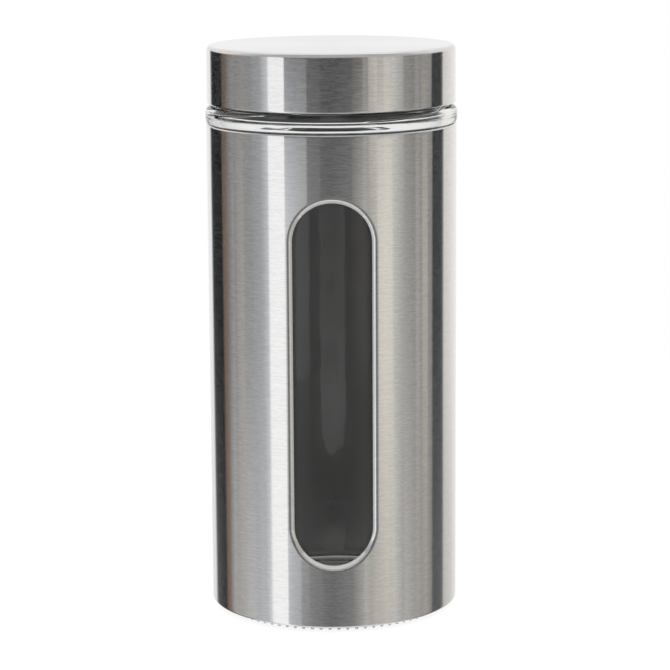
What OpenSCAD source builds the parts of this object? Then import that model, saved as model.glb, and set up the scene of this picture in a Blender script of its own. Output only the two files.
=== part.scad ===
// Tall storage canister: a threaded glass jar in a brushed steel sleeve with a
// long window, closed by a screw lid of steel over a moulded liner and a seal.
// Millimetres. Z is up, the origin is the centre of the ring it stands on,
// and the window faces -Y.

/* [Steel sleeve] */
// Outside diameter of the sleeve
sleeve_d = 110; // [98:0.5:124]
// Height of the sleeve from edge to edge
sleeve_h = 215; // [150:1:280]
// Thickness of the sleeve's sheet
sleeve_gauge = 0.5; // [0.4:0.05:0.7]
// Outer radius of the sleeve's rolled edges
sleeve_roll_r = 1.1; // [0.8:0.05:1.3]
// Height of the sleeve's lower edge above the table
sleeve_lift = 2.2; // [1.8:0.1:3]
// Space between the inside of the sleeve and the wall of the glass
sleeve_gap = 1.1; // [1:0.05:1.6]
// Clearance between a rolled-in lip and the glass
lip_clear = 0.2; // [0.15:0.05:0.3]

/* [Window] */
// Width of the window, straight across the outer edge of its bevel
window_w = 39.4; // [24:0.2:50]
// Distance from the sleeve's lower edge to the window
window_low_margin = 25; // [15:1:40]
// Distance from the sleeve's upper edge to the window
window_top_margin = 26.4; // [15:0.2:40]
// Width of the sloping bevel that takes the sheet down to the glass
bevel_w = 2.8; // [1.6:0.1:4]
// Clearance between the window's inner edge and the glass
bevel_clear = 0.25; // [0.2:0.05:0.4]

/* [Glass jar] */
// Thickness of the jar's wall
wall = 3.2; // [2.4:0.1:4.5]
// Thickness of the jar's floor at its outer edge
floor_t = 5.5; // [4:0.1:8]
// Radius of the corner between wall and base
heel_r = 3.6; // [3:0.1:5]
// Radius of the corner between wall and floor inside
floor_corner_r = 6; // [4:0.5:10]
// Rise of the hollow under the base at its centre
push_up = 3; // [2:0.1:5]
// Width of the flat ring that the jar stands on
bearing_w = 4.2; // [3.4:0.1:6]
// How far the neck band stands out past the sleeve
band_proud = 0.35; // [0:0.05:1]
// Height of the neck band
band_h = 7.3; // [6:0.1:12]
// Radius of the band's upper corner
band_top_r = 3.2; // [2:0.1:4]
// Radius of the band's lower corner
band_low_r = 0.9; // [0.5:0.1:1.2]
// Gap between the sleeve's upper edge and the band
band_gap = 0.3; // [0.2:0.05:0.6]
// Thickness of the neck's wall
neck_wall = 3.3; // [2.6:0.1:4]
// Radius at the foot of the neck
neck_fillet_r = 0.8; // [0.4:0.1:1]
// Outer radius of the rim
rim_out_r = 1.1; // [0.7:0.1:1.3]
// Inner radius of the rim
rim_in_r = 1.2; // [0.7:0.1:1.3]
// Height of the slope inside that narrows the jar to its neck
shoulder_h = 11; // [8:0.5:16]

/* [Base knurls] */
// Number of knurls under the base
knurl_count = 80; // [40:1:100]
// Height of a knurl
knurl_h = 0.9; // [0.6:0.05:1.2]
// Width of a knurl where it leaves the base
knurl_root_w = 1.7; // [1.2:0.1:1.8]
// Width of a knurl's flat foot
knurl_foot_w = 1; // [0.6:0.1:1.1]

/* [Screw thread] */
// Number of thread starts
thread_starts = 4; // [2:1:4]
// Rise of the lid in one full turn
thread_lead = 20; // [18:0.5:24]
// Height of a glass thread above the neck
thread_depth = 1.1; // [0.8:0.05:1.4]
// Width of a glass thread at its root
thread_w = 2.4; // [1.8:0.1:2.6]
// Clearance between the flanks of thread and lug
flank_clear = 0.3; // [0.25:0.05:0.5]
// Clearance between a thread's crest and the liner
crest_clear = 0.5; // [0.4:0.05:0.8]
// Clearance between a lug's crest and the neck
lug_clear = 0.4; // [0.3:0.05:0.6]
// Angle that each glass thread covers
thread_arc = 165; // [120:5:180]
// Angle that each lug of the liner covers
lug_arc = 52; // [30:2:60]
// Angle, from the middle of the window, at which a glass thread meets the band
thread_start_angle = 54; // [0:2:80]
// Angle over which a thread's tail runs down the band's corner
tail_arc = 40; // [30:2:60]
// How far the tail drops down the corner
tail_drop = 1.6; // [0.8:0.1:2]
// Height of the tail above the band
tail_depth = 0.35; // [0.2:0.05:0.5]

/* [Lid shell] */
// How far the lid's side stands in from the sleeve's side
lid_inset = 0.4; // [0:0.1:0.8]
// Height of the lid
lid_h = 25.5; // [23:0.5:36]
// Gap between the neck band and the lid's lower edge
lid_gap = 0.8; // [0.5:0.1:1.5]
// Thickness of the lid's sheet
lid_gauge = 0.5; // [0.4:0.05:0.7]
// Radius of the lid's upper edge
lid_edge_r = 2; // [1.4:0.1:4]
// Outer radius of the lid's rolled lower edge
lid_hem_r = 1; // [0.8:0.05:1.1]
// Width of the flat lip at the end of the rolled edge
lid_lip_w = 0.55; // [0.4:0.05:0.7]

/* [Lid liner] */
// Thickness of the liner's skirt
liner_wall = 1.1; // [0.9:0.05:1.4]
// Thickness of the liner's top
liner_top_t = 1.4; // [1:0.1:2]
// Clearance between the liner and the steel round it
liner_fit = 0.1; // [0.05:0.05:0.2]
// Chamfer at the liner's lower edge
liner_chamfer = 0.5; // [0.3:0.05:0.6]
// Width of the ring that holds the seal from inside
seal_rib_w = 1; // [0.8:0.1:1.5]
// Height of the ring that holds the seal from inside
seal_rib_h = 2; // [1.7:0.1:2.4]
// Reach of the catch that holds the seal from outside
seal_catch = 0.6; // [0.5:0.05:0.7]
// Height of the catch
seal_catch_h = 0.7; // [0.5:0.1:1]
// Radius of the stiffening ring under the liner's top
stiffener_r = 26; // [16:1:36]
// Height of the stiffening ring
stiffener_h = 1.2; // [0.8:0.1:2]

/* [Seal ring] */
// Thickness of the seal
seal_t = 1.6; // [1.3:0.1:1.9]
// Corner radius of the seal's section
seal_corner_r = 0.4; // [0.2:0.05:0.5]
// Clearance round the seal in its groove
seal_clear = 0.25; // [0.2:0.05:0.35]
// Clearance between the seal and the liner's top
seal_back_clear = 0.05; // [0.03:0.01:0.1]
// Gap between the seal and the rim when the lid is down
seal_gap = 0.2; // [0.1:0.05:0.3]

/* [Hidden] */

$fn = 180;

// How far a cut runs past the face it cuts
over = 2;
// How far an added shape is sunk into the body that carries it
sink = 0.4;
// Slight inset that keeps the bevel's root inside the thickness of the wall
tuck = 0.03;

glass_colour = [0.78, 0.84, 0.84, 0.45];
steel_colour = [0.69, 0.69, 0.68];
liner_colour = [0.93, 0.93, 0.91];
seal_colour = [0.85, 0.86, 0.84];

// Sleeve
sleeve_r = sleeve_d / 2;
sleeve_z0 = sleeve_lift;
sleeve_z1 = sleeve_z0 + sleeve_h;
sleeve_bore_r = sleeve_r - sleeve_gauge;

// Glass body
body_r = sleeve_bore_r - sleeve_gap;
cavity_r = body_r - wall;
base_z = knurl_h;
floor_z = base_z + floor_t;
foot_r = body_r - heel_r;
hollow_r = foot_r - bearing_w;
dome_r = (hollow_r * hollow_r + push_up * push_up) / (2 * push_up);
dome_facets = 720;
knurl_ring_r = foot_r - knurl_root_w / 4;
knurl_facets = 24;

// Neck band
band_r = sleeve_r + band_proud;
band_z0 = sleeve_z1 + band_gap;
band_z1 = band_z0 + band_h;
band_land_r = band_r - band_top_r;
band_arc_z = band_z1 - band_top_r;

// Lid and what it holds, from the outside in
lid_r = sleeve_r - lid_inset;
lid_z0 = band_z1 + lid_gap;
lid_z1 = lid_z0 + lid_h;
lid_lip_r = lid_r - lid_hem_r - lid_lip_w;
liner_r = lid_r - lid_gauge - liner_fit;
liner_bore_r = liner_r - liner_wall;
liner_z0 = lid_z0 + lid_gauge + liner_fit;
liner_z1 = lid_z1 - lid_gauge - liner_fit;
liner_roof_z = liner_z1 - liner_top_t;

// Neck, sized to pass inside the liner
thread_crest_r = liner_bore_r - crest_clear;
neck_r = thread_crest_r - thread_depth;
neck_bore_r = neck_r - neck_wall;
lug_crest_r = neck_r + lug_clear;

// Seal and rim
seal_z1 = liner_roof_z - seal_back_clear;
seal_z0 = seal_z1 - seal_t;
seal_r = liner_bore_r - seal_clear;
seal_rib_r = neck_bore_r - seal_clear - seal_clear;
seal_bore_r = seal_rib_r + seal_clear;
rim_z = seal_z0 - seal_gap;

// Thread
full_turn = 360;
thread_pitch = thread_lead / thread_starts;
thread_rise = thread_lead / full_turn;
lug_w = thread_pitch - thread_w - 2 * flank_clear;
thread_z0 = band_z1 - thread_depth / 2;
lug_z0 = liner_z0 + lug_w / 2 + flank_clear;
lug_start_angle = (lug_z0 + thread_pitch / 2 - thread_z0) / thread_rise;
thread_step = 5;
merge_arc = 4 * thread_step;
thread_fade_share = 0.12;
tip_dip_share = 0.25;
crest_flat_share = 0.22;

// Window outline, laid out flat round the sleeve
window_end_r = window_w / 2;
window_low_z = sleeve_z0 + window_low_margin + window_end_r;
window_top_z = sleeve_z1 - window_top_margin - window_end_r;
window_end_steps = 24;
bevel_edge_r = body_r + bevel_clear + sleeve_gauge;
bevel_drop = sleeve_r - bevel_edge_r;
// A round bend that steepens to the glass, as shares of the bevel's width and of its drop
bevel_shares = [[0.08, 0.006], [0.3, 0.083], [0.55, 0.283], [0.78, 0.586], [1, 1]];

// Half outline of a turned bar, its outer corners rounded
module bar_outline(r, z0, z1, low_r, high_r) {
    translate([0, z0 + low_r])
        square([r, z1 - z0 - low_r - high_r]);
    translate([0, z0])
        square([r - low_r, low_r + high_r]);
    translate([0, z1 - high_r - low_r])
        square([r - high_r, low_r + high_r]);
    if (low_r > 0)
        translate([r - low_r, z0 + low_r])
            circle(low_r);
    if (high_r > 0)
        translate([r - high_r, z1 - high_r])
            circle(high_r);
}

// Half outline of a drawn cup or tube of sheet, its ends open to the radii given
module sheet_outline(r, z0, z1, gauge, low_r, high_r, low_hole_r, high_hole_r) {
    difference() {
        bar_outline(r, z0, z1, low_r, high_r);
        bar_outline(r - gauge, z0 + gauge, z1 - gauge, low_r - gauge, high_r - gauge);
        translate([0, z0 - over])
            square([low_hole_r, gauge + 2 * over]);
        if (high_hole_r > 0)
            translate([0, z1 - gauge - over])
                square([high_hole_r, gauge + 2 * over]);
    }
}

// Joins closed rings of points into one skin with flat ends
module lofted(rings) {
    n = len(rings[0]);
    last = len(rings) - 1;
    sides = [for (i = [0 : last - 1], j = [0 : n - 1])
        let (k = (j + 1) % n)
        each [[i * n + j, (i + 1) * n + j, (i + 1) * n + k],
              [i * n + j, (i + 1) * n + k, i * n + k]]];
    low_end = [for (j = [1 : n - 2]) [0, j, j + 1]];
    high_end = [for (j = [1 : n - 2]) [last * n, last * n + j + 1, last * n + j]];
    polyhedron([for (ring = rings) each ring], concat(sides, low_end, high_end), convexity = 6);
}

// Closed loft that comes back to its first ring
module looped(rings) {
    n = len(rings[0]);
    m = len(rings);
    sides = [for (i = [0 : m - 1], j = [0 : n - 1])
        let (h = (i + 1) % m, k = (j + 1) % n)
        each [[i * n + j, h * n + j, h * n + k],
              [i * n + j, h * n + k, i * n + k]]];
    polyhedron([for (ring = rings) each ring], sides, convexity = 6);
}

// A point at a radius, an angle from the middle of the window, and a height
function around(r, a, z) = [r * sin(a), -r * cos(a), z];

// How much of its full height a ridge has at a share of its length: its tips dip below the surface
function fade(share) =
    min(1, share / thread_fade_share - tip_dip_share, (1 - share) / thread_fade_share - tip_dip_share);

// Section across a helical ridge as radius and height, from its root through its crest
function ridge_section(root_r, crest_r, root_w, z) =
    let (flat_w = root_w * crest_flat_share)
    [[root_r, z - root_w / 2], [crest_r, z - flat_w], [crest_r, z + flat_w], [root_r, z + root_w / 2]];

// Section across a ridge that lies on the band's round upper corner
function tail_section(z, h) =
    let (lean = asin((z - band_arc_z) / band_top_r))
    let (spread = thread_w * crest_flat_share / band_top_r * full_turn / (2 * PI))
    [for (p = [[-1, -sink], [-0.5, h], [0.5, h], [1, -sink]])
        let (turn = lean + p[0] * spread, reach = band_top_r + p[1])
        [band_land_r + reach * cos(turn), band_arc_z + reach * sin(turn)]];

// A point part of the way from one to another
function between(p, q, across, up) = [p[0] + (q[0] - p[0]) * across, p[1] + (q[1] - p[1]) * up];

// The same list from its far end
function reversed(list) = [for (i = [len(list) - 1 : -1 : 0]) list[i]];

// A section set up at an angle from the middle of the window
function placed(section, a) = [for (p = section) around(p[0], a, p[1])];

// One lug of the liner, which dies away at both ends
module liner_lug() {
    steps = ceil(lug_arc / thread_step);
    lofted([for (i = [0 : steps])
        let (share = i / steps, turn = lug_arc * share)
        let (crest_r = liner_bore_r + (lug_crest_r - liner_bore_r) * fade(share))
        placed(ridge_section(liner_bore_r + sink, crest_r, lug_w, lug_z0 + thread_rise * turn),
            thread_start_angle + lug_start_angle + turn)]);
}

// One glass thread: its tail comes up the band's corner and merges into the ridge on the neck
module glass_thread() {
    steps = ceil((tail_arc + thread_arc) / thread_step);
    lofted([for (i = [0 : steps])
        let (turn = (tail_arc + thread_arc) * i / steps - tail_arc)
        let (climb = 1 + min(0, turn) / tail_arc, merge = max(0, min(1, turn / merge_arc)))
        let (z = thread_z0 + thread_rise * max(0, turn) - tail_drop * (1 - climb * climb))
        let (tail_h = tail_depth * min(1, climb / thread_fade_share - tip_dip_share))
        let (end_fade = min(1, (1 - turn / thread_arc) / thread_fade_share - tip_dip_share))
        let (tail = tail_section(min(z, band_z1 - tuck), tail_h))
        let (ridge = ridge_section(neck_r - sink, neck_r + thread_depth * end_fade, thread_w, z))
        let (top = between(tail[3], ridge[3], min(1, 2 * merge), max(0, 2 * merge - 1)))
        placed([top, between(tail[2], ridge[2], merge, merge), between(tail[1], ridge[1], merge, merge),
                between(tail[0], ridge[0], merge, merge)], thread_start_angle + turn)]);
}

// Outer outline of the glass, heel to rim
module glass_outline() {
    bar_outline(body_r, base_z, band_z0 + band_low_r, heel_r, 0);
    bar_outline(band_r, band_z0, band_z1, band_low_r, band_top_r);
    bar_outline(neck_r, band_arc_z, rim_z, 0, rim_out_r);
    difference() {
        translate([0, band_z1])
            square([neck_r + neck_fillet_r, neck_fillet_r]);
        translate([neck_r + neck_fillet_r, band_z1 + neck_fillet_r])
            circle(neck_fillet_r);
    }
}

// Inside of the jar: floor with its low dome, wall, slope to the neck, open mouth
module cavity_outline() {
    slope_z0 = band_z0 - shoulder_h / 2;
    slope_steps = 12;
    slope = [for (i = [0 : slope_steps])
        let (share = i / slope_steps)
        [neck_bore_r + (cavity_r - neck_bore_r) * (1 + cos(180 * share)) / 2,
         slope_z0 + shoulder_h * share]];
    difference() {
        bar_outline(cavity_r, floor_z, slope_z0, floor_corner_r, 0);
        translate([0, floor_z + push_up - dome_r])
            circle(dome_r, $fn = dome_facets);
    }
    polygon(concat([[0, slope_z0]], slope, [[0, slope_z0 + shoulder_h]]));
    translate([0, slope_z0 + shoulder_h])
        square([neck_bore_r, rim_z - slope_z0 - shoulder_h + over]);
    difference() {
        translate([0, rim_z - rim_in_r])
            square([neck_bore_r + rim_in_r, rim_in_r + over]);
        translate([neck_bore_r + rim_in_r, rim_z - rim_in_r])
            circle(rim_in_r);
        translate([neck_bore_r + rim_in_r, rim_z - rim_in_r])
            square([over, rim_in_r + over]);
    }
}

// Hollow under the base, inside the ring that carries the knurls
module push_up_outline() {
    intersection() {
        translate([0, base_z - over])
            square([hollow_r, push_up + over]);
        union() {
            translate([0, base_z + push_up - dome_r])
                circle(dome_r, $fn = dome_facets);
            translate([0, base_z - over])
                square([hollow_r, over]);
        }
    }
}

module glass_jar() {
    knurl_turn = full_turn / knurl_count;
    color(glass_colour) {
        rotate_extrude()
            difference() {
                glass_outline();
                cavity_outline();
                push_up_outline();
            }
        for (i = [0 : knurl_count - 1])
            translate(around(knurl_ring_r, (i + 0.5) * knurl_turn, 0))
                cylinder(h = knurl_h + sink, d1 = knurl_foot_w, d2 = knurl_root_w, $fn = knurl_facets);
        for (i = [0 : thread_starts - 1])
            rotate([0, 0, i * full_turn / thread_starts])
                glass_thread();
    }
}

// Window outline at an inset from its outer edge, laid on a radius
function window_ring(inset, r) =
    let (w = window_end_r - inset, step = 180 / window_end_steps)
    [for (end = [0, 1], i = [0 : window_end_steps - 1])
        let (turn = end * 180 + (i + 0.5) * step, z = end == 0 ? window_top_z : window_low_z)
        let (x = w * cos(turn))
        [x, -sqrt(r * r - x * x), z + w * sin(turn)]];

// Plug the shape of the window, reaching through the front of the sheet
module window_cutter() {
    reach = sleeve_r - sqrt(sleeve_bore_r * sleeve_bore_r - window_end_r * window_end_r) + 2 * over;
    translate([0, reach - sleeve_r, 0])
        rotate([90, 0, 0])
            linear_extrude(height = reach + over) {
                translate([0, window_top_z])
                    circle(window_end_r);
                translate([0, window_low_z])
                    circle(window_end_r);
                translate([-window_end_r, window_low_z])
                    square([window_w, window_top_z - window_low_z]);
            }
}

// One face of the bevel as insets and radii, from the radius of the sheet's own face
function bevel_face(face_r) =
    [for (p = bevel_shares) [p[0] * bevel_w, face_r - tuck - p[1] * (bevel_drop - tuck)]];

// The sheet round the window, bent in to the glass
module window_bevel() {
    root = [[-sink, sleeve_bore_r + tuck], [-sink, sleeve_r - tuck]];
    profile = concat(bevel_face(sleeve_r), reversed(bevel_face(sleeve_bore_r)), root);
    looped([for (p = profile) window_ring(p[0], p[1])]);
}

module steel_sleeve() {
    low_lip_z = sleeve_z0 + sleeve_gauge;
    heel_drop = base_z + heel_r - low_lip_z;
    heel_lip_r = foot_r + sqrt(heel_r * heel_r - heel_drop * heel_drop) + lip_clear;
    color(steel_colour) {
        difference() {
            rotate_extrude()
                sheet_outline(sleeve_r, sleeve_z0, sleeve_z1, sleeve_gauge,
                    sleeve_roll_r, sleeve_roll_r, heel_lip_r, body_r + lip_clear);
            window_cutter();
        }
        window_bevel();
    }
}

module seal_ring() {
    color(seal_colour)
        rotate_extrude()
            difference() {
                bar_outline(seal_r, seal_z0, seal_z1, seal_corner_r, seal_corner_r);
                translate([0, seal_z0 - over])
                    square([seal_bore_r, seal_t + 2 * over]);
            }
}

module lid_shell() {
    color(steel_colour)
        rotate_extrude()
            sheet_outline(lid_r, lid_z0, lid_z1, lid_gauge, lid_hem_r, lid_edge_r, lid_lip_r, 0);
}

// Moulded inside of the lid, without its lugs
module liner_outline() {
    corner_r = lid_edge_r - lid_gauge - liner_fit;
    difference() {
        bar_outline(liner_r, liner_z0, liner_z1, 0, corner_r);
        translate([0, liner_z0 - over])
            square([liner_bore_r, liner_roof_z - liner_z0 + over]);
        polygon([[liner_r - liner_chamfer, liner_z0 - tuck], [liner_r + tuck, liner_z0 - tuck],
                 [liner_r + tuck, liner_z0 + liner_chamfer]]);
    }
    translate([seal_rib_r - seal_rib_w, liner_roof_z - seal_rib_h])
        square([seal_rib_w, seal_rib_h + tuck]);
    translate([stiffener_r - seal_rib_w, liner_roof_z - stiffener_h])
        square([seal_rib_w, stiffener_h + tuck]);
    catch_z = seal_z0 - seal_back_clear;
    catch_slope = seal_catch_h / 3;
    polygon([[liner_bore_r + tuck, catch_z], [liner_bore_r - seal_catch, catch_z - catch_slope],
             [liner_bore_r - seal_catch, catch_z - seal_catch_h + catch_slope],
             [liner_bore_r + tuck, catch_z - seal_catch_h]]);
}

module lid_liner() {
    color(liner_colour) {
        rotate_extrude()
            liner_outline();
        for (i = [0 : thread_starts - 1])
            rotate([0, 0, i * full_turn / thread_starts])
                liner_lug();
    }
}

glass_jar();
steel_sleeve();
seal_ring();
lid_shell();
lid_liner();
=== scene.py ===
# %% [markdown]
# # A steel and glass storage canister
#
# The object is a tall glass jar in a sleeve of brushed steel. The sleeve has a long round-ended
# window, and a steel lid screws down on the neck of the jar. This lesson loads the measured model
# as a fixed frame, builds a finely shaped piece over each part of it, gives each piece its
# finish, and sets the whole thing up in a small photo studio.

# %% Load the measured model
import math

import bmesh
import bpy
from mathutils import Matrix, Vector
from mathutils.geometry import delaunay_2d_cdt


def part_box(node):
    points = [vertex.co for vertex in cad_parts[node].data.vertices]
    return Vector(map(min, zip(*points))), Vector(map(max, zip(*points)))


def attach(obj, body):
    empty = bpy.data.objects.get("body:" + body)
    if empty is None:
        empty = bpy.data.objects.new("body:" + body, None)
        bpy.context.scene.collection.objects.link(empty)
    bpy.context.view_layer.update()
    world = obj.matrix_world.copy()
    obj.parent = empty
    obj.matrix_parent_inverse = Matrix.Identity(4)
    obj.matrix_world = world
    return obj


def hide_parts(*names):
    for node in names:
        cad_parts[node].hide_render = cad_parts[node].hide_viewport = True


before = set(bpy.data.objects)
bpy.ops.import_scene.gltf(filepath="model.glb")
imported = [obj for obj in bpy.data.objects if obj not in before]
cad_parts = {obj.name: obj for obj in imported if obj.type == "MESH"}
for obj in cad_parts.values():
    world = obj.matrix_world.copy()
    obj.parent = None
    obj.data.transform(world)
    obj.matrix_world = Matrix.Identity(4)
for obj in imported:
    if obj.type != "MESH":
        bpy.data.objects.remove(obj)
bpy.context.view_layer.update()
print("parts:", sorted(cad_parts))

# %% [markdown]
# ## The camera
#
# Product shots of a tall can are taken from a good metre away with a long lens, so that its sides
# stay upright. The position, the tilt and the lens below came from fitting the outline of the can,
# and the picture is level but for a third of a degree. One rotation turns the camera up from
# looking straight down, and a second, small one rolls it about its own line of sight.

# %% Put the camera in its place
PICTURE_SIDE = 670
SENSOR_MM = 36.0
FOCAL_LENGTH_PIXELS = 2593.3
CAMERA_PLACE = (0.00102, -1.1378, 0.3355)
CAMERA_DIP = 10.649
CAMERA_ROLL = -0.36


def put_in_scene(name, data):
    """Makes an object of a lens or a mesh and puts it in the scene."""
    made = bpy.data.objects.new(name, data)
    bpy.context.scene.collection.objects.link(made)
    return made


lens = bpy.data.cameras.new("studio_lens")
lens.sensor_width = SENSOR_MM
lens.lens = FOCAL_LENGTH_PIXELS * SENSOR_MM / PICTURE_SIDE
camera = put_in_scene("studio_camera", lens)
camera.matrix_world = (
    Matrix.Translation(CAMERA_PLACE)
    @ Matrix.Rotation(math.radians(90 - CAMERA_DIP), 4, "X")
    @ Matrix.Rotation(math.radians(CAMERA_ROLL), 4, "Z")
)
bpy.context.scene.camera = camera
print("lens in mm:", round(lens.lens, 1))

# %% [markdown]
# ## Drawing round things by their section
#
# Every part of the can is turned or rolled, so its shape is a section in two numbers, radius and
# height, carried round the upright axis. The helpers below draw such sections in millimetres. A
# straight run gets an extra point close to each end: smooth shading then bends only next to the
# corner and leaves the long face true. Angles round the can are counted from the middle of the
# window.

# %% Helpers for sections
MM = 0.001
SUPPORT = 0.3


def around(radius, turn, z):
    """A point at a radius, an angle in degrees from the middle of the window, and a height."""
    angle = math.radians(turn)
    return (radius * math.sin(angle), -radius * math.cos(angle), z)


def bend(centre, radius, start, end, steps=8):
    """Points on an arc of a section. Angles in degrees, 0 is outward and 90 is up."""
    made = []
    for i in range(steps + 1):
        angle = math.radians(start + (end - start) * i / steps)
        made.append((centre[0] + radius * math.cos(angle), centre[1] + radius * math.sin(angle)))
    return made


def run(start, end, parts=1):
    """Points on a straight run of a section, with a support point near each end."""
    near = SUPPORT / math.dist(start, end)
    shares = [0, near] + [i / parts for i in range(1, parts)] + [1 - near, 1]
    return [tuple(a + (b - a) * share for a, b in zip(start, end)) for share in shares]


def section(*parts):
    """Joins bends and runs into one section, dropping points that would be doubled."""
    joined = []
    for point in (p for part in parts for p in part):
        if not joined or math.dist(joined[-1], point) > SUPPORT / 20:
            joined.append(point)
    return joined


def smooth_step(share):
    """Eases from 0 to 1."""
    share = max(0.0, min(1.0, share))
    return share * share * (3 - 2 * share)


print("points on a quarter bend:", len(bend((0, 0), 1, 0, 90)))

# %% [markdown]
# ## Collecting points and faces
#
# A mesh is a list of points and a list of faces that name points by number. The small class below
# keeps both while a piece is being built: rows of points are added, neighbouring rows are joined
# by four-sided faces, and a row can be closed by a fan. The finished piece is hung on the body that
# it rides on, and the part of the model that it stands for is hidden. Which way a face is wound
# doesn't matter while it is being built, because all of them are turned outward at the end.

# %% A builder for turned meshes
class Skin:
    """The points and faces of one piece, in millimetres."""

    def __init__(self):
        self.points = []
        self.faces = []

    def row(self, points):
        """Adds points and returns their numbers."""
        first = len(self.points)
        self.points.extend(points)
        return list(range(first, len(self.points)))

    def join(self, *rows, closed=True):
        """Joins each row to the next one with four-sided faces."""
        for low, high in zip(rows, rows[1:]):
            for i in range(len(low) if closed else len(low) - 1):
                k = (i + 1) % len(low)
                self.faces.append((low[i], low[k], high[k], high[i]))

    def fan(self, row, centre):
        """Closes a row with triangles that meet at one point."""
        tip = self.row([centre])[0]
        for i, a in enumerate(row):
            self.faces.append((a, row[(i + 1) % len(row)], tip))

    def turned(self, outline, turns, relief=None):
        """Carries a section round the axis and returns its rows. Relief moves its points."""
        rows = []
        for i, (radius, z) in enumerate(outline):
            places = [relief(i, turn) if relief else (radius, z) for turn in turns]
            rows.append(self.row([around(r, turn, h) for (r, h), turn in zip(places, turns)]))
        self.join(*rows)
        return rows

    def finished(self, name, body, node):
        """Makes the object, smooth and facing outward, and hands it to the frame."""
        mesh = bpy.data.meshes.new(name)
        mesh.from_pydata([[v * MM for v in p] for p in self.points], [], self.faces)
        work = bmesh.new()
        work.from_mesh(mesh)
        bmesh.ops.remove_doubles(work, verts=work.verts, dist=1e-7)
        bmesh.ops.recalc_face_normals(work, faces=work.faces)
        open_edges = sum(not edge.is_manifold for edge in work.edges)
        work.to_mesh(mesh)
        work.free()
        mesh.shade_smooth()
        piece = put_in_scene(name, mesh)
        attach(piece, body)
        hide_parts(node)
        print(f"{name}: {len(mesh.polygons)} faces, {open_edges} open edges")
        return piece


def even_turns(count):
    """Angles of evenly spread columns round the can."""
    return [360 * i / count for i in range(count)]


print("four columns stand at", even_turns(4))

# %% [markdown]
# ## The sleeve: columns that follow the window
#
# The sleeve is one sheet of steel, rolled to a tube and welded at the back. It could be cut with a
# boolean, but that leaves long slivers round the hole and uneven shading. Here the columns of the
# tube are placed so that some of them end exactly on the round ends of the window. The rows above
# and below simply stop there, and the same loop of points carries on into the bent edge.

# %% Measures of the sleeve and its columns
sleeve_low, sleeve_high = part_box("steel_sleeve")
SLEEVE_R = sleeve_high.x / MM
SLEEVE_Z0 = sleeve_low.z / MM
SLEEVE_Z1 = sleeve_high.z / MM
GAUGE = 0.5
ROLL_R = 1.1
UPPER_LIP_R = 53.6
LOWER_LIP_R = 53.118
WINDOW_HALF = 19.7
WINDOW_FOOT = 25
WINDOW_HEAD = 26.4
WINDOW_LOW = SLEEVE_Z0 + WINDOW_FOOT + WINDOW_HALF
WINDOW_TOP = SLEEVE_Z1 - WINDOW_HEAD - WINDOW_HALF
HOLE_HALF = WINDOW_HALF + SUPPORT
END_STEPS = 40
SIDE_STEPS = 10
BACK_STEPS = 200
SEAM_CLEAR = 1.5
SEAM_OFFSETS = (-1.2, -0.8, -0.45, -0.2, 0, 0.2, 0.45, 0.8, 1.2)

end_angles = [math.pi * (1 - i / END_STEPS) for i in range(END_STEPS + 1)]
front_turns = [math.degrees(math.asin(HOLE_HALF * math.cos(a) / SLEEVE_R)) for a in end_angles]
edge_turn = front_turns[-1]
back_turns = [edge_turn + (360 - 2 * edge_turn) * i / BACK_STEPS for i in range(1, BACK_STEPS)]
back_turns = [turn for turn in back_turns if abs(turn - 180) > SEAM_CLEAR]
back_turns = sorted(back_turns + [180 + offset for offset in SEAM_OFFSETS])
sleeve_turns = front_turns + back_turns
outside_columns = list(range(END_STEPS, len(sleeve_turns))) + [0]
print("columns in the sleeve:", len(sleeve_turns))

# %% [markdown]
# ## The sleeve: the two skins of its wall
#
# The outer and the inner skin are the same rows at two radii. Below and above the window a row
# runs right round the can, and beside the window it leaves out the columns in front. A fine
# groove at the back is all that shows of the weld, and only the outer skin has it.

# %% Rows of the wall
SEAM_DEPTH = 0.06
SEAM_HALF_TURN = 0.5
ROW_SHARES = (0, 0.02, 0.2, 0.5, 0.8, 0.98, 1)
skin = Skin()


def wall_row(radius, heights, seam=0.0, turns=sleeve_turns):
    """One row of the sleeve, a height for each column. At the back it dips in by the seam."""
    dips = [seam * smooth_step(1 - abs(turn - 180) / SEAM_HALF_TURN) for turn in turns]
    places = zip(dips, turns, heights)
    return skin.row([around(radius - dip, turn, z) for dip, turn, z in places])


def hole_heights(middle, direction):
    """Height at which each column meets the hole: its round end, or level beside it."""
    ends = [middle + direction * HOLE_HALF * math.sin(a) for a in end_angles]
    return ends + [middle] * len(back_turns)


def stepped_rows(radius, start, end, seam):
    """Rows from the heights at the hole to a level row at the edge, or the other way round."""
    rows = []
    for share in ROW_SHARES:
        heights = [a + (b - a) * share for a, b in zip(start, end)]
        rows.append(wall_row(radius, heights, seam))
    skin.join(*rows)
    return rows


print("height of the hole:", round(WINDOW_TOP - WINDOW_LOW + 2 * HOLE_HALF, 1), "mm")


# %% The two skins of the wall
def window_side(radius, low_row, high_row, seam):
    """Rows beside the window between the two end rows. Returns the side columns, low to high."""
    turns = [sleeve_turns[c] for c in outside_columns]
    rows = [low_row]
    for i in range(1, SIDE_STEPS):
        z = WINDOW_LOW + (WINDOW_TOP - WINDOW_LOW) * i / SIDE_STEPS
        made = wall_row(radius, [z] * len(turns), seam, turns)
        rows.append(dict(zip(outside_columns, made)))
    rows.append(high_row)
    skin.join(*[[row[c] for c in outside_columns] for row in rows], closed=False)
    inner = rows[1:-1]
    return [row[END_STEPS] for row in inner], [row[0] for row in inner]


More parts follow.
